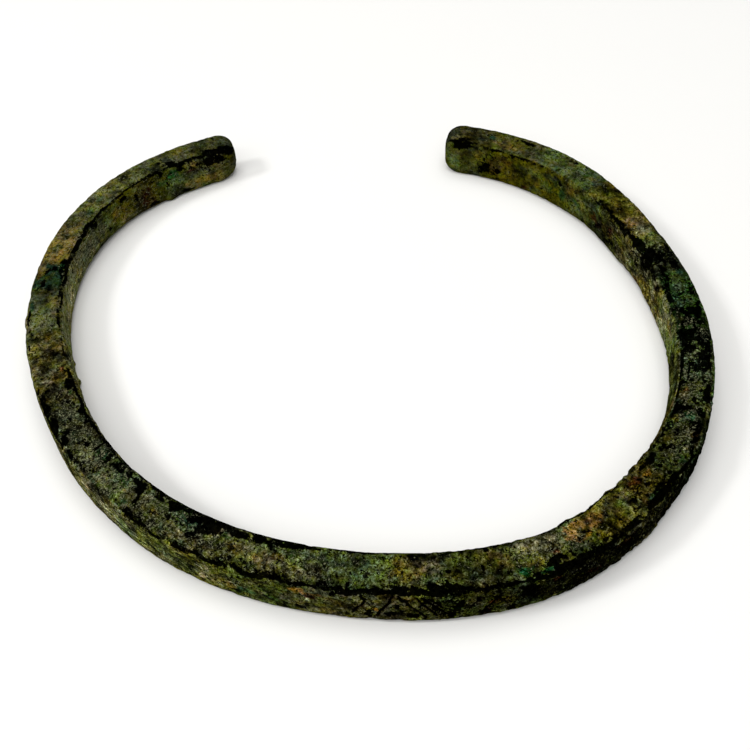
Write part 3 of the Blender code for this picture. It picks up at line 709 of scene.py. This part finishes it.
bare_and_shade = np.zeros_like(along)
for face, tracts in THIN_CRUST_AND_SHADE.items():
    for *spot, share in tracts:
        bare_and_shade = at_least(bare_and_shade, THINNED * thinness(share), face, spot)
for face, spots in (("top", BLACK_TOP), ("outer", BLACK_OUTER), ("inner", BLACK_INNER)):
    for spot in spots:
        bare_and_shade = at_least(bare_and_shade, BLACKENED, face, spot, BLACK_EDGE)
for face, *spot in far_black:
    bare_and_shade = at_least(bare_and_shade, BLACKENED, face, spot, BLACK_EDGE)
bare_and_shade += WHOLE_CRUST

frost = strongest(PALE_GRAINS)
streaky = strongest(STREAKS)
print("black covers", round(float((bare_and_shade > 0).mean()) * 100), "% of the skin")

# %% [markdown]
# ## Mottling between the patches
# Inside every patch the real skin still changes from grain to grain. Three kinds of drift are added to
# the tint: one in lightness, which keeps the patch's own hue, one between warm soil colours and green
# copper salts, and one between a clean yellow and a dusty grey. The black shows where the crust is thin
# and the noise is high, so its edges break up into specks.

# %% Mottle the tint
EYE = 2.2  # the eye's scale of lightness against the share of light sent back
CALM = 0.6  # how strong the mottling and the grain are on the arms; in front they are 1
FRONT_START = (34, 48)  # they grow from calm to strong between these distances along
FRONT_END = (164, 150)
MOTTLE_BLOTCH = 0.2  # how much each size of noise changes the lightness
MOTTLE_FLECK = 0.24
MOTTLE_GRIT = 0.22
DARKEST = -0.9  # the most that a point may lose of its lightness
PALER = 0.23  # how much a point gains
PALER_HUE = 0.8  # 1 keeps the tint's own hue where it is paler, 0 whitens it
WARMTH_SPREAD = 0.7
WARMER = (0.09, -0.02, -0.04)  # red, green and blue, in doublings for each unit of noise
GREYER = (0, 0, 0.42)
GREY_MIDDLE = 1.25  # the noise at which a patch keeps its own blue; where it is lower, some is lost

grain_here = CALM + (1 - CALM) * ease(*FRONT_START, along) * ease(*FRONT_END, along)
mottle = grain_here * (MOTTLE_BLOTCH * blotch + MOTTLE_FLECK * fleck + MOTTLE_GRIT * grit)
darker = 1 + np.maximum(np.minimum(mottle, 0), DARKEST)
own_hue = (tint / tint.max(axis=-1, keepdims=True)) ** (PALER_HUE / EYE)
paler = PALER * np.maximum(mottle, 0)[..., None] * own_hue
tint = (tint ** (1 / EYE) * darker[..., None] + paler) ** EYE

warmth = WARMTH_SPREAD * (rough(3.0, seed=7) + rough(1.2, seed=8))
greyness = rough(1.6, seed=10) - GREY_MIDDLE
tint = tint * np.exp2(warmth[..., None] * WARMER + greyness[..., None] * GREYER)
print("mean tint, mottled:", tint.reshape(-1, 3).mean(axis=0).round(3))

# %% Fray the black
RAGGED_BLOTCH = 0.35  # how much each size of noise breaks up the black's edges
RAGGED_FLECK = 0.45
RAGGED_GRIT = 0.5
CRUST_GONE = 0.3  # the score at which no crust is left
CRUST_WHOLE = -0.8  # the score at which all of it is
bare_and_shade = bare_and_shade + RAGGED_BLOTCH * blotch + RAGGED_FLECK * fleck + RAGGED_GRIT * grit
crust = ease(CRUST_GONE, CRUST_WHOLE, bare_and_shade)
print("crust covers", round(float(crust.mean()) * 100), "% of the skin")

# %% [markdown]
# ## Relief
# The crust is not paint: it stands up in grains, it is missing in flakes, and the arrises are nibbled.
# Bump in a material only tricks the light, so all of this that a finger could feel moves the mesh itself.
# Each kind of relief is one field of heights in millimetres, out from the skin, and the fields add up.

# %% Heights that noise gives
CRUST = 0.03
HAND_SWELL = 0.015
DENTS = 0.01
NIBBLE = 0.035
NIBBLE_NOISE = (0.4, 2.0)  # the noise at which an arris starts to be nibbled, and is nibbled most
ARRIS_REACH = 4  # the higher, the nearer the nibbling keeps to the arris
GRAIN = 0.014
GRAIN_FLECK = 0.6  # how much each size of noise gives to the grain
GRAIN_GRIT = 0.8
GRAIN_ON_BARE = 0.4  # how much of the grain stays where the crust is gone
BARE_DEPTH = 0.03
COARSE_GRAIN = 0.04
COARSE_PLACES = [("outer", 117, 0, 12, 4), ("inner", 116, 2, 8, 2)]
CALM_END = 2.5  # the relief fades out over this length at each end

corner = np.abs(column_part * 2 - 1) ** ARRIS_REACH  # 1 at an arris, 0 in the middle of a face
nibbled = ease(*NIBBLE_NOISE, rough(0.9, octaves=3, seed=9)) * corner
height = CRUST + HAND_SWELL * broad + DENTS * blotch - NIBBLE * nibbled
height += GRAIN * (GRAIN_ON_BARE + crust) * (GRAIN_FLECK * fleck + GRAIN_GRIT * grit)
height -= BARE_DEPTH * (1 - crust)
coarse = np.max([patch(*spot) for spot in COARSE_PLACES], axis=0)
height += COARSE_GRAIN * coarse * (grit + fleck)
height *= ease(0, CALM_END, np.minimum(along, BAR_LENGTH - along))
print("heights from", height.min().round(2), "to", height.max().round(2), "mm")

# %% Pits
PIT_DEPTH = 0.16
LARGE_SPACING = 2.3  # between the places that could have a pit
SMALL_SPACING = 1.1
SMALL_DEPTH = 0.6  # beside a large pit's
PIT_SHARE = 0.3  # the share of those places that has one
PIT_SHIFT = (31.7, 12.9, -7.3)  # each seed reads the places this much further on
PIT_CHOICE = 7.1  # spreads the places over the cells of the noise that chooses among them
PIT_FLOOR = 0.08  # radius of the flat floor, beside the spacing
PIT_RIM = 0.30  # radius at the rim
PIT_DARKENS = 0.75
SHALLOWER = 0.8  # how much shallower a pit is at an arris


def pits(spacing, seed):
    """Round pits scattered in space: 1 in a pit's middle, 0 outside. Only a share of the places has one."""
    shift = Vector([part * seed for part in PIT_SHIFT])
    found = []
    for point in skin.reshape(-1, 3):
        gaps, centres = noise.voronoi(Vector(point) / spacing + shift)
        kept = noise.cell(centres[0] * PIT_CHOICE) < PIT_SHARE
        found.append(gaps[0] if kept else 1.0)
    return 1 - ease(PIT_FLOOR, PIT_RIM, np.array(found).reshape(along.shape))


pitted = np.maximum(pits(LARGE_SPACING, 1), SMALL_DEPTH * pits(SMALL_SPACING, 2))
pitted *= 1 - SHALLOWER * corner
height -= PIT_DEPTH * pitted
tint = tint * (1 - PIT_DARKENS * pitted[..., None])
print("pits cover", round(float((pitted > 0.5).mean()) * 100, 1), "% of the skin")

# %% [markdown]
# ## The cut lines
# Towards the middle of the outer face somebody cut slanting lines with a graver: a few crossed strokes,
# worn almost away. Each is a shallow groove from a point under the top arris to a point above the bottom
# one.

# %% Cut the lines
CUT_WIDTH = 0.21
CUT_DEPTH = 0.16
CUT_FLOOR = 0.25  # beside the width
CUT_WANDER = 0.03
CUT_STAIN = 0.8  # how well dirt covers the cut
CUT_BLACKENS = 3.6  # how much a cut adds to the score of bare black
CUTS = [  # distance along and down at the start, then at the end
    ((87.6, -1.0), (86.6, 0.9)), ((90.0, -2.0), (88.5, 1.4)), ((90.3, -2.1), (92.6, 1.6)),
    ((91.8, -1.7), (93.4, 1.1)), ((92.4, -1.6), (94.3, 1.1)), ((92.8, -1.6), (93.8, -0.2)),
    ((97.0, -0.8), (96.2, 0.6)), ((98.6, -0.6), (97.2, 1.4)),
]


def cut(start, end):
    """How deep one stroke is over the skin, 0 to 1."""
    down = off_line("outer", wander=CUT_WANDER * wander_around) - start[1]
    run = along + CUT_WANDER * wander_along - start[0]
    stroke = np.array(end) - start
    part = np.clip((run * stroke[0] + down * stroke[1]) / (stroke @ stroke), 0, 1)
    gap = np.hypot(run - part * stroke[0], down - part * stroke[1])
    return 1 - ease(CUT_FLOOR * CUT_WIDTH, CUT_WIDTH, gap)


cuts = np.max([cut(*ends) for ends in CUTS], axis=0)
height -= CUT_DEPTH * cuts
tint = lay(tint, CUT_STAIN * cuts, light_share("maroon", "outer"))
bare_and_shade = np.maximum(bare_and_shade, WHOLE_CRUST + CUT_BLACKENS * cuts)
print(len(CUTS), "strokes")

# %% Bumps and hollows of the hand
BUMP_EDGE = (1.2, 0.2)  # where a bump starts and where it is full, as shares of its half-length and -width
BUMPS = [  # face, distance along, across, half-length, half-width, height; a hollow's height is negative
    ("outer", 37.8, -2.2, 0.9, 1.6, 0.2), ("outer", 41, -2.0, 2.4, 1.6, 0.1),
    ("inner", 104, 1.5, 4.0, 1.6, -0.15), ("inner", 106.5, 2.0, 0.8, 0.8, 0.15),
    ("inner", 112, 2.0, 0.6, 0.8, 0.15), ("inner", 116, 2.0, 0.7, 0.8, 0.15),
    ("inner", 41.2, -2.2, 0.4, 0.7, 0.2), ("inner", 44, -2.2, 0.45, 0.7, 0.25),
    ("inner", 22, -2.5, 14, 1.4, -0.35), ("inner", 159, -2.5, 4, 1.3, -0.12),
    ("inner", 126, 2.4, 9, 1.7, -0.3), ("outer", 123, 0, 6, 3.5, 0.22),
    ("inner", 0.6, -2.2, 1.8, 1.6, -0.3), ("inner", 9.2, -2.4, 1.1, 0.9, 0.22),
    ("inner", 38, -2.5, 7, 1.5, -0.2), ("inner", 148, -2.4, 3.5, 1.3, -0.15),
]
for face, place, across, half_length, half_width, lift in BUMPS:
    reach = np.hypot((along - place) / half_length, off_line(face, across) / half_width)
    height += lift * ease(*BUMP_EDGE, reach)
print("highest bump", height.max().round(2), "mm")

# %% [markdown]
# ## Make the mesh
# The grid becomes faces, the ends are closed with a fan round one point each, and every point then moves
# along its own normal by its height. Where the bracelet lies on the table nothing may sink below it, and
# on top the crust may stand only a little above the plain bar.

# %% Build the piece
STAND_PROUD = 0.03  # how far the crust may stand above the plain bar, as a share of the bar's height


def grid_faces(rings, columns, tail, head):
    """The faces between the rings, and a fan round one point at each end."""
    faces = []
    for i in range(rings - 1):
        for j in range(columns):
            k = (j + 1) % columns
            faces.append((i * columns + j, i * columns + k, (i + 1) * columns + k, (i + 1) * columns + j))
    last = (rings - 1) * columns
    for j in range(columns):
        k = (j + 1) % columns
        faces.append((tail, k, j))
        faces.append((head, last + j, last + k))
    return faces


def build_bracelet():
    rings, columns = along.shape
    points = list(skin.reshape(-1, 3)) + [skin[0].mean(axis=0), skin[-1].mean(axis=0)]
    faces = grid_faces(rings, columns, len(points) - 2, len(points) - 1)
    mesh = bpy.data.meshes.new("bronze_bracelet")
    mesh.from_pydata([Vector(point) * MM for point in points], [], faces)
    mesh.update()
    normals = np.zeros(len(points) * 3)
    mesh.vertex_normals.foreach_get("vector", normals)
    heights = np.append(height.reshape(-1), (height[0].mean(), height[-1].mean()))
    moved = np.array(points) + normals.reshape(-1, 3) * heights[:, None]
    moved[:, 2] = np.clip(moved[:, 2], 0.0, BAR_HEIGHT * (1 + STAND_PROUD))
    mesh.vertices.foreach_set("co", (moved * MM).reshape(-1))
    for polygon in mesh.polygons:
        polygon.use_smooth = True
    mesh.update()
    piece = bpy.data.objects.new("bronze_bracelet", mesh)
    bpy.context.collection.objects.link(piece)
    return piece


bracelet = build_bracelet()
triangles = sum(len(polygon.vertices) - 2 for polygon in bracelet.data.polygons)
print(len(bracelet.data.polygons), "faces,", triangles, "triangles")

# %% Write the painted fields on the mesh
def write_field(name, kind, socket, rows):
    """Store a value or a colour for each point of the mesh. The two end points take their ring's mean."""
    ends = np.array([rows[0].mean(axis=0), rows[-1].mean(axis=0)])
    data = np.concatenate([rows.reshape(along.size, -1), ends.reshape(2, -1)])
    layer = bracelet.data.attributes.new(name, kind, "POINT")
    layer.data.foreach_set(socket, data.reshape(-1))


write_field("tint", "FLOAT_COLOR", "color", np.dstack([tint, np.ones_like(along)]))
write_field("bare_and_shade", "FLOAT", "value", bare_and_shade)
write_field("frost", "FLOAT", "value", frost)
write_field("grain", "FLOAT", "value", grain_here)
write_field("streak", "FLOAT", "value", streaky)
write_field("run", "FLOAT_VECTOR", "vector", np.dstack([along, around, np.zeros_like(along)]))
print([layer.name for layer in bracelet.data.attributes])

# %% [markdown]
# ## The finish
# The mesh carries the patches, but a grain finer than its points has to come from the material. A node
# material reads the painted fields and breaks them up with noise of a few tenths of a millimetre: pale
# grains on the crust, ragged edges to the black, and a bump too fine to model. A low grain is a purer
# yellow than a high one, and the highest carry pale dust with a painted sparkle, which takes the hue of
# what it lies on. On some tracts the grain runs in streaks along the bar. The black metal is smoother than
# the crust, and neither shines; the sparkle of the grains is painted in their colour.

# %% Small helpers for nodes
finish = bpy.data.materials.new("corroded_bronze")
finish.use_nodes = True
nodes = finish.node_tree.nodes
links = finish.node_tree.links
nodes.clear()


def add(kind, inputs=None, **settings):
    """Make a node; an input given as another node's output is linked, any other is set."""
    made = nodes.new(kind)
    for name, value in settings.items():
        setattr(made, name, value)
    for name, value in (inputs or {}).items():
        if isinstance(value, bpy.types.NodeSocket):
            links.new(value, made.inputs[name])
        else:
            made.inputs[name].default_value = value
    return made


def maths(operation, *values):
    return add("ShaderNodeMath", dict(enumerate(values)), operation=operation).outputs[0]


def vector_maths(operation, first, second):
    return add("ShaderNodeVectorMath", {0: first, 1: second}, operation=operation).outputs["Vector"]


def painted(name, socket="Fac"):
    """A field that is painted on the mesh."""
    return add("ShaderNodeAttribute", attribute_name=name).outputs[socket]


def power(colour, exponent):
    return add("ShaderNodeGamma", {"Color": colour, "Gamma": exponent}).outputs["Color"]


def rise(value, low, high):
    """A smooth step from 0 at low to 1 at high."""
    inputs = {"Value": value, "From Min": low, "From Max": high}
    return add("ShaderNodeMapRange", inputs, interpolation_type="SMOOTHSTEP").outputs["Result"]


def mix(cover, under, over):
    """One colour over another where it covers."""
    mixed = add("ShaderNodeMix", data_type="RGBA")
    links.new(cover, mixed.inputs["Factor"])
    links.new(under, mixed.inputs["A"])
    if isinstance(over, bpy.types.NodeSocket):
        links.new(over, mixed.inputs["B"])
    else:
        mixed.inputs["B"].default_value = over
    return mixed.outputs["Result"]


print("helpers ready")

# %% Noise that is finer than the mesh
STREAK_LENGTH = 1.6  # in millimetres, along the bar
STREAK_WIDTH = 0.13
skin_place = add("ShaderNodeTexCoord").outputs["Object"]


def grains(size, detail=2.0, roughness=0.6, twist=0.0):
    """Noise with grains of a size in millimetres. A twist curls them."""
    inputs = {"Vector": skin_place, "Scale": 1 / (size * MM), "Detail": detail, "Roughness": roughness}
    return add("ShaderNodeTexNoise", {**inputs, "Distortion": twist}).outputs["Fac"]


def swing_of(fac):
    """The noise's swing to either side of its middle."""
    return maths("SUBTRACT", fac, 0.5)


crumbs = grains(0.34, roughness=1.0, twist=0.8)
stains = grains(0.6)
finer = (1 / STREAK_LENGTH, 1 / STREAK_WIDTH, 0.0)
run_of_skin = vector_maths("MULTIPLY", painted("run", "Vector"), finer)
streaks = add("ShaderNodeTexNoise", {"Vector": run_of_skin, "Scale": 1.0, "Detail": 2.0, "Roughness": 0.7})
streaks = maths("MULTIPLY", swing_of(streaks.outputs["Fac"]), painted("streak"))
swing = maths("MULTIPLY", swing_of(crumbs), painted("grain"))
swing = maths("ADD", swing, streaks)
print("noise made of", len(nodes), "nodes")

# %% Grain of the crust
DARK_SWING = 8.0  # how much darker one grain is than the next
PALE_SWING = 3.1  # how much pale dust and painted sparkle the highest grains carry
DUST_AND_SPARKLE_LINE = 0.07  # how high a grain stands before it carries dust and painted sparkle
DUST_AND_SPARKLE_HUE = 0.6  # 1 gives the dust and sparkle the hue below it, 0 makes it white
WARM_SWING = (0.35, 0.0, 0.0)  # how much redder or greener one stain is than the next
GREY_SWING = 3.6  # how much greyer a high grain is than a low one
GREY_DRIFT = 2.0  # how much greyness drifts from place to place besides
BLUE_ONLY = (0.0, 0.0, 1.0)  # greyer means more blue, as the crust has red and green alike
MOST_BLUE = 0.78  # the most blue that a grain may show, beside its green
LEAST_GAIN = 0.05  # no grain is darker than this, beside the tint

dark_part = maths("MULTIPLY_ADD", maths("MINIMUM", swing, 0.0), DARK_SWING, 1.0)
# The highest grains get pale dust and a painted sparkle: light is added to their colour, since the finish
# itself doesn't shine.
pale_part = maths("MULTIPLY", maths("MAXIMUM", maths("SUBTRACT", swing, DUST_AND_SPARKLE_LINE), 0.0), PALE_SWING)
pale_part = maths("MULTIPLY", pale_part, maths("ADD", painted("frost"), 1.0))
warm_part = vector_maths("MULTIPLY", swing_of(stains), WARM_SWING)
greyer = maths("MULTIPLY", swing_of(grains(0.45)), GREY_DRIFT)
greyer = maths("MULTIPLY_ADD", swing, GREY_SWING, greyer)
hue_part = vector_maths("ADD", warm_part, vector_maths("MULTIPLY", greyer, BLUE_ONLY))
gain = vector_maths("MAXIMUM", vector_maths("ADD", dark_part, hue_part), (LEAST_GAIN,) * 3)

as_seen = power(painted("tint", "Color"), 1 / EYE)
dust_and_sparkle = vector_maths("MULTIPLY", power(as_seen, DUST_AND_SPARKLE_HUE), pale_part)
as_seen = vector_maths("ADD", vector_maths("MULTIPLY", as_seen, gain), dust_and_sparkle)
parts = add("ShaderNodeSeparateXYZ", {"Vector": as_seen}).outputs
blue = maths("MINIMUM", parts["Z"], maths("MULTIPLY", parts["Y"], MOST_BLUE))
as_seen = add("ShaderNodeCombineXYZ", {"X": parts["X"], "Y": parts["Y"], "Z": blue}).outputs["Vector"]
grained = power(as_seen, EYE)
print("grain made of", len(nodes), "nodes")

# %% Pale specks, partly painted sparkle, and black, partly painted shade
SPECK_HELP = 0.13  # how far the field of pale grains raises the noise that makes specks
SPECK_RISE = (0.63, 0.74)  # the noise at which a speck starts, and is full
SPECK_COVER = 0.85
FLAKE_SWING = 9.0  # how much fine noise breaks up the edge of the black
BLACK_RISE = (-0.35, 0.45)
BLACK_SHARE = 0.012  # how dark the bare metal and the painted shade are beside the crust

# The specks are partly pale grains of the crust and partly painted sparkle.
specks = grains(0.22, roughness=0.8, twist=0.8)
pale = maths("ADD", specks, maths("MULTIPLY", painted("frost"), SPECK_HELP))
speck_cover = maths("MULTIPLY", rise(pale, *SPECK_RISE), SPECK_COVER)
coloured = mix(speck_cover, grained, (*light_share("ash", "top"), 1.0))

flakes = maths("MULTIPLY", swing_of(grains(0.3, detail=3.0, roughness=0.9)), FLAKE_SWING)
black_cover = rise(maths("ADD", painted("bare_and_shade"), flakes), *BLACK_RISE)
black_metal_and_shade = vector_maths("MULTIPLY", grained, (BLACK_SHARE,) * 3)
coloured = mix(black_cover, coloured, black_metal_and_shade)
print("colour made of", len(nodes), "nodes")

# %% Surface of the finish
CRUST_ROUGHNESS = 0.85
BLACK_SMOOTHER = 0.3
BLACK_LOWER = 0.3
FINE_RELIEF = 0.15  # in millimetres

surface = add("ShaderNodeBsdfPrincipled")
links.new(coloured, surface.inputs["Base Color"])
surface.inputs["Specular IOR Level"].default_value = 0.0
roughness = maths("SUBTRACT", CRUST_ROUGHNESS, maths("MULTIPLY", black_cover, BLACK_SMOOTHER))
links.new(roughness, surface.inputs["Roughness"])
relief = maths("SUBTRACT", crumbs, maths("MULTIPLY", black_cover, BLACK_LOWER))
bump = add("ShaderNodeBump", {"Height": relief, "Distance": FINE_RELIEF * MM, "Strength": 1.0})
links.new(bump.outputs["Normal"], surface.inputs["Normal"])
out = add("ShaderNodeOutputMaterial")
links.new(surface.outputs["BSDF"], out.inputs["Surface"])
bracelet.data.materials.append(finish)
print(finish.name, "on", bracelet.name)

# %% [markdown]
# ## A map for baking
# Whoever bakes this finish to an image needs the skin laid flat. The bar is long and thin, so its skin is
# cut into three strips of equal length that lie one above another, with the seam along the wrist side's
# top arris.

# %% Lay the skin flat
STRIPS = 3
STRIP_MARGIN = 0.01


def lay_flat():
    steps = np.linalg.norm(np.diff(skin, axis=0), axis=2).mean(axis=1)
    run = np.concatenate(([0.0], np.cumsum(steps)))
    strip_length = run[-1] / STRIPS
    rings, columns = along.shape
    layer = bracelet.data.uv_layers.new(name="OFBake")
    flat = np.zeros((len(bracelet.data.loops), 2))
    for polygon in bracelet.data.polygons:
        corners = [bracelet.data.loops[loop].vertex_index for loop in polygon.loop_indices]
        ring = [min(corner // columns, rings - 1) for corner in corners]
        column = [corner % columns for corner in corners]
        if max(corners) >= rings * columns:  # a fan's middle point lies beside its neighbour
            ring[0] = ring[1]
            column[0] = column[1]
        wraps = max(column) - min(column) > columns / 2
        strip = min(int(run[min(ring)] / strip_length), STRIPS - 1)
        for loop, i, j in zip(polygon.loop_indices, ring, column):
            turn = (columns if wraps and j == 0 else j) / columns
            u = (run[i] - strip * strip_length) / strip_length
            flat[loop] = (u, (strip + STRIP_MARGIN + turn * (1 - 2 * STRIP_MARGIN)) / STRIPS)
    flat[:, 0] = STRIP_MARGIN + flat[:, 0] * (1 - 3 * STRIP_MARGIN)
    layer.data.foreach_set("uv", flat.reshape(-1))
    return flat


flat = lay_flat()
print("map runs from", flat.min(axis=0).round(3), "to", flat.max(axis=0).round(3))

# %% [markdown]
# ## The table, the camera and the light
# The bracelet lies on a plain pale table, seen from in front at about fifty degrees. A small soft light
# on the left throws the one shadow that has an edge. Wide soft lights overhead and in front fill it in,
# as a white tent would.

# %% The table
TABLE_SIZE = 3.0  # in metres
TABLE_WHITE = (0.76, 0.755, 0.735, 1.0)


def build_table():
    mesh = bpy.data.meshes.new("table")
    half = TABLE_SIZE / 2
    corners = [(-half, -half, 0), (half, -half, 0), (half, half, 0), (-half, half, 0)]
    mesh.from_pydata(corners, [], [(0, 1, 2, 3)])
    table = bpy.data.objects.new("table", mesh)
    bpy.context.collection.objects.link(table)
    white = bpy.data.materials.new("white_table")
    white.use_nodes = True
    shader = white.node_tree.nodes["Principled BSDF"]
    shader.inputs["Base Color"].default_value = TABLE_WHITE
    shader.inputs["Roughness"].default_value = 0.9
    shader.inputs["Specular IOR Level"].default_value = 0.1
    mesh.materials.append(white)
    return table


table = build_table()
print("table at height", table.location.z)

# %% The camera
CAMERA_PLACE = Vector((1.166, -75.784, 85.535)) * MM
CAMERA_TARGET = Vector((1.166, -3.836, 0.0)) * MM
CAMERA_ROLL = math.radians(-3.664)

camera = bpy.data.objects.new("camera", bpy.data.cameras.new("camera"))
camera.data.lens = 51.18
camera.data.sensor_width = 36.0
camera.data.clip_start = 0.005
camera.location = CAMERA_PLACE
aim = (CAMERA_TARGET - CAMERA_PLACE).to_track_quat("-Z", "Y")
camera.rotation_mode = "QUATERNION"
camera.rotation_quaternion = aim @ Quaternion((0, 0, 1), CAMERA_ROLL)
bpy.context.collection.objects.link(camera)
bpy.context.scene.camera = camera
print("camera", round((CAMERA_TARGET - CAMERA_PLACE).length / MM), "mm away")

# %% The lights
LIGHTS = [  # name, place and size in millimetres, power in watts
    ("key_left", (-430, -60, 455), 110, 1.35),
    ("overhead", (0, 60, 660), 450, 2.1),
    ("ceiling", (0, 0, 450), 800, 1.75),
    ("fill_front", (0, -450, 480), 400, 0.9),
    ("fill_left", (-350, -350, 450), 300, 0.65),
]


def add_light(name, place, size, power):
    """A square soft light, aimed at the bracelet."""
    light = bpy.data.lights.new(name, "AREA")
    light.size = size * MM
    light.energy = power
    lamp = bpy.data.objects.new(name, light)
    lamp.location = Vector(place) * MM
    lamp.rotation_euler = (-lamp.location).to_track_quat("-Z", "Y").to_euler()
    bpy.context.collection.objects.link(lamp)


for light in LIGHTS:
    add_light(*light)
world = bpy.data.worlds.new("studio")
world.use_nodes = True
world.node_tree.nodes["Background"].inputs["Color"].default_value = (1.0, 0.99, 0.97, 1.0)
world.node_tree.nodes["Background"].inputs["Strength"].default_value = 0.05
bpy.context.scene.world = world
bpy.context.scene.view_settings.view_transform = "Standard"
print("lights:", [light.name for light in bpy.data.lights])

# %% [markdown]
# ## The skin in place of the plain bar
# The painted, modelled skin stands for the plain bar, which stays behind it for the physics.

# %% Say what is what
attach(bracelet, "root")
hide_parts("bracelet")
